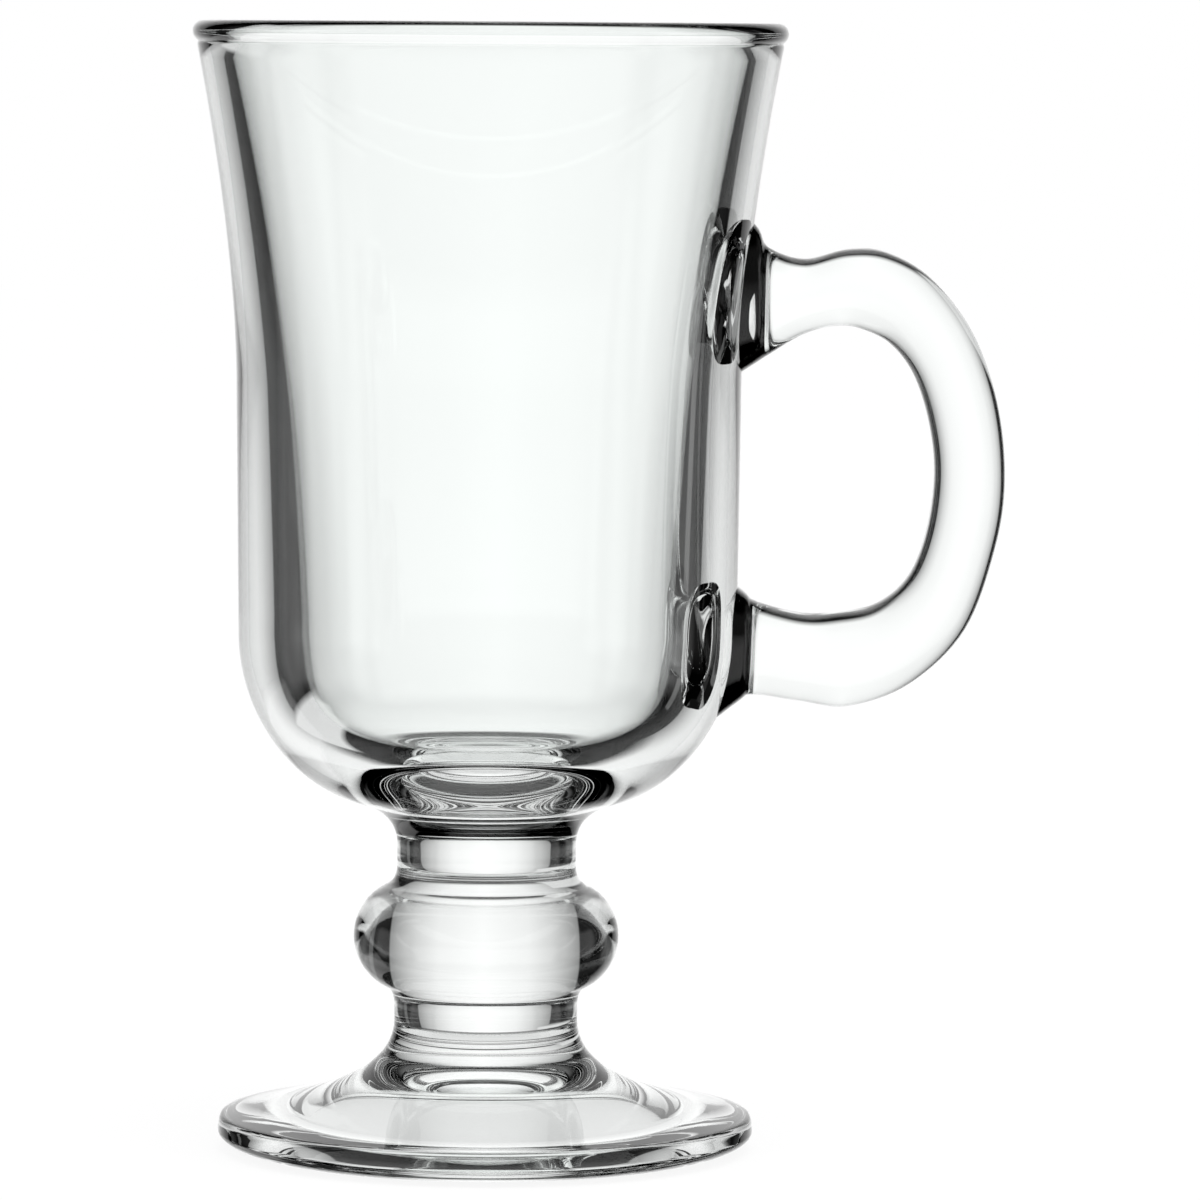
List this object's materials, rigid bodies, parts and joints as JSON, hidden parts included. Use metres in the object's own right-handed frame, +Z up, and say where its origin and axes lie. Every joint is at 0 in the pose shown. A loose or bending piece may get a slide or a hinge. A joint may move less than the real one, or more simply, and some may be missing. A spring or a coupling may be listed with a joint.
{
  "type": "irish coffee glass mug",
  "caption": "Clear glass coffee mug with a flared bowl, a short knopped stem, a broad round foot and a pulled loop handle.",
  "frame": {"origin": "on the axis of the bowl, stem and foot, at the plane the foot rests on", "axes": "+Z up along the axis of the bowl to the rim, +X from the axis out to the handle, +Y completes a right-handed frame"},
  "size_m": [0.105, 0.0766, 0.146],
  "materials": {
    "clear_glass": "gloss"
  },
  "bodies": {
    "root": {"bowl": "clear_glass", "handle": "clear_glass", "upper_collar": "clear_glass", "knop": "clear_glass", "lower_collar": "clear_glass", "foot": "clear_glass"}
  },
  "joints": []
}
